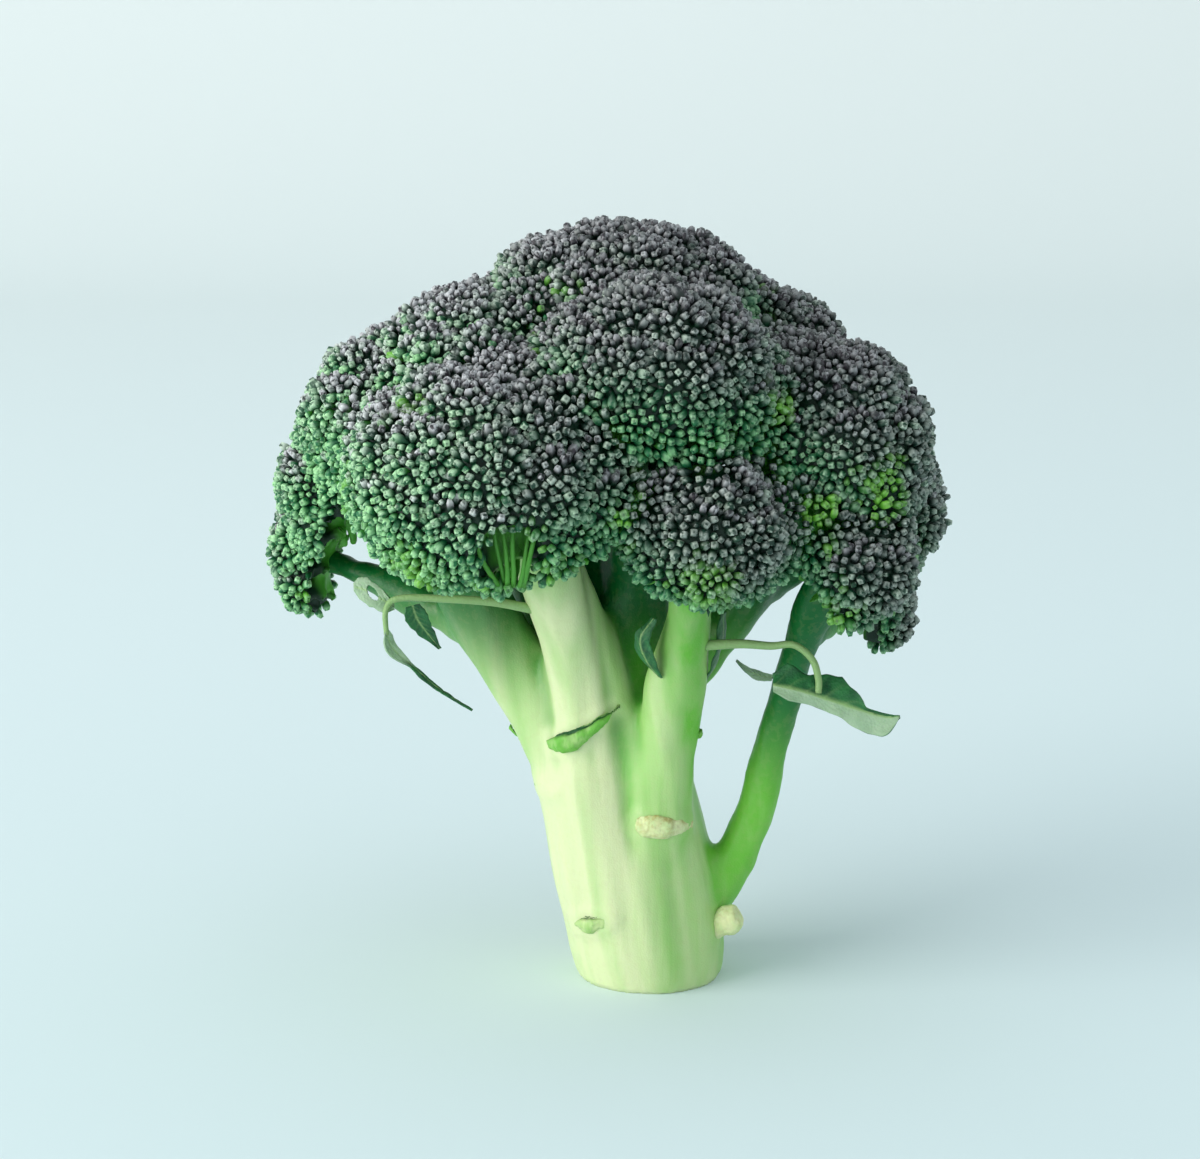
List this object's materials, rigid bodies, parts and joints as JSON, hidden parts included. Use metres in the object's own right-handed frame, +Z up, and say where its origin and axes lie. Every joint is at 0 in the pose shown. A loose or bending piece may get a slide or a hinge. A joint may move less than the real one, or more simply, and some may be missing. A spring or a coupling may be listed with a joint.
{
  "type": "broccoli head",
  "caption": "Fresh broccoli head: a thick pale stalk that forks into branches, each ending in a domed dark green floret of tight buds, with a few small leaves; stands on its cut foot.",
  "frame": {"origin": "middle of the flat cut face at the foot of the stalk, on the surface that the head stands on", "axes": "+Z up along the head's height, +X to the right and -Y to the front, the side with the two largest florets"},
  "size_m": [0.1544, 0.1255, 0.1701],
  "materials": {
    "stalk": "satin",
    "branch": "satin",
    "floret": "matte",
    "leaf": "matte",
    "stub": "matte"
  },
  "bodies": {
    "root": {"bract_left": "leaf", "bract_right": "leaf", "branch_front": "branch", "branch_front_centre": "branch", "branch_front_left": "branch", "branch_left": "branch", "branch_left_low": "branch", "branch_left_side": "branch", "branch_rear": "branch", "branch_rear_left": "branch", "branch_rear_left_low": "branch", "branch_rear_low": "branch", "branch_rear_right": "branch", "branch_rear_right_low": "branch", "branch_right": "branch", "branch_right_low": "branch", "branch_right_side": "branch", "branch_right_top": "branch", "branch_top": "branch", "branch_top_left": "branch", "floret_front_centre": "floret", "floret_front_left": "floret", "floret_front_low": "floret", "floret_left": "floret", "floret_left_low": "floret", "floret_left_side": "floret", "floret_rear": "floret", "floret_rear_left": "floret", "floret_rear_left_low": "floret", "floret_rear_low": "floret", "floret_rear_right": "floret", "floret_rear_right_low": "floret", "floret_right": "floret", "floret_right_low": "floret", "floret_right_side": "floret", "floret_right_top": "floret", "floret_top": "floret", "floret_top_left": "floret", "leaf_left": "leaf", "leaf_right": "leaf", "leaflet_hanging": "leaf", "leaflet_left": "leaf", "leaflet_right": "leaf", "nub_left": "leaf", "nub_right": "leaf", "scar_front": "stub", "scar_left": "stub", "stalk": "stalk", "stub_front_low": "stub", "stub_front_mid": "stub", "stub_low_right": "stub"}
  },
  "joints": []
}
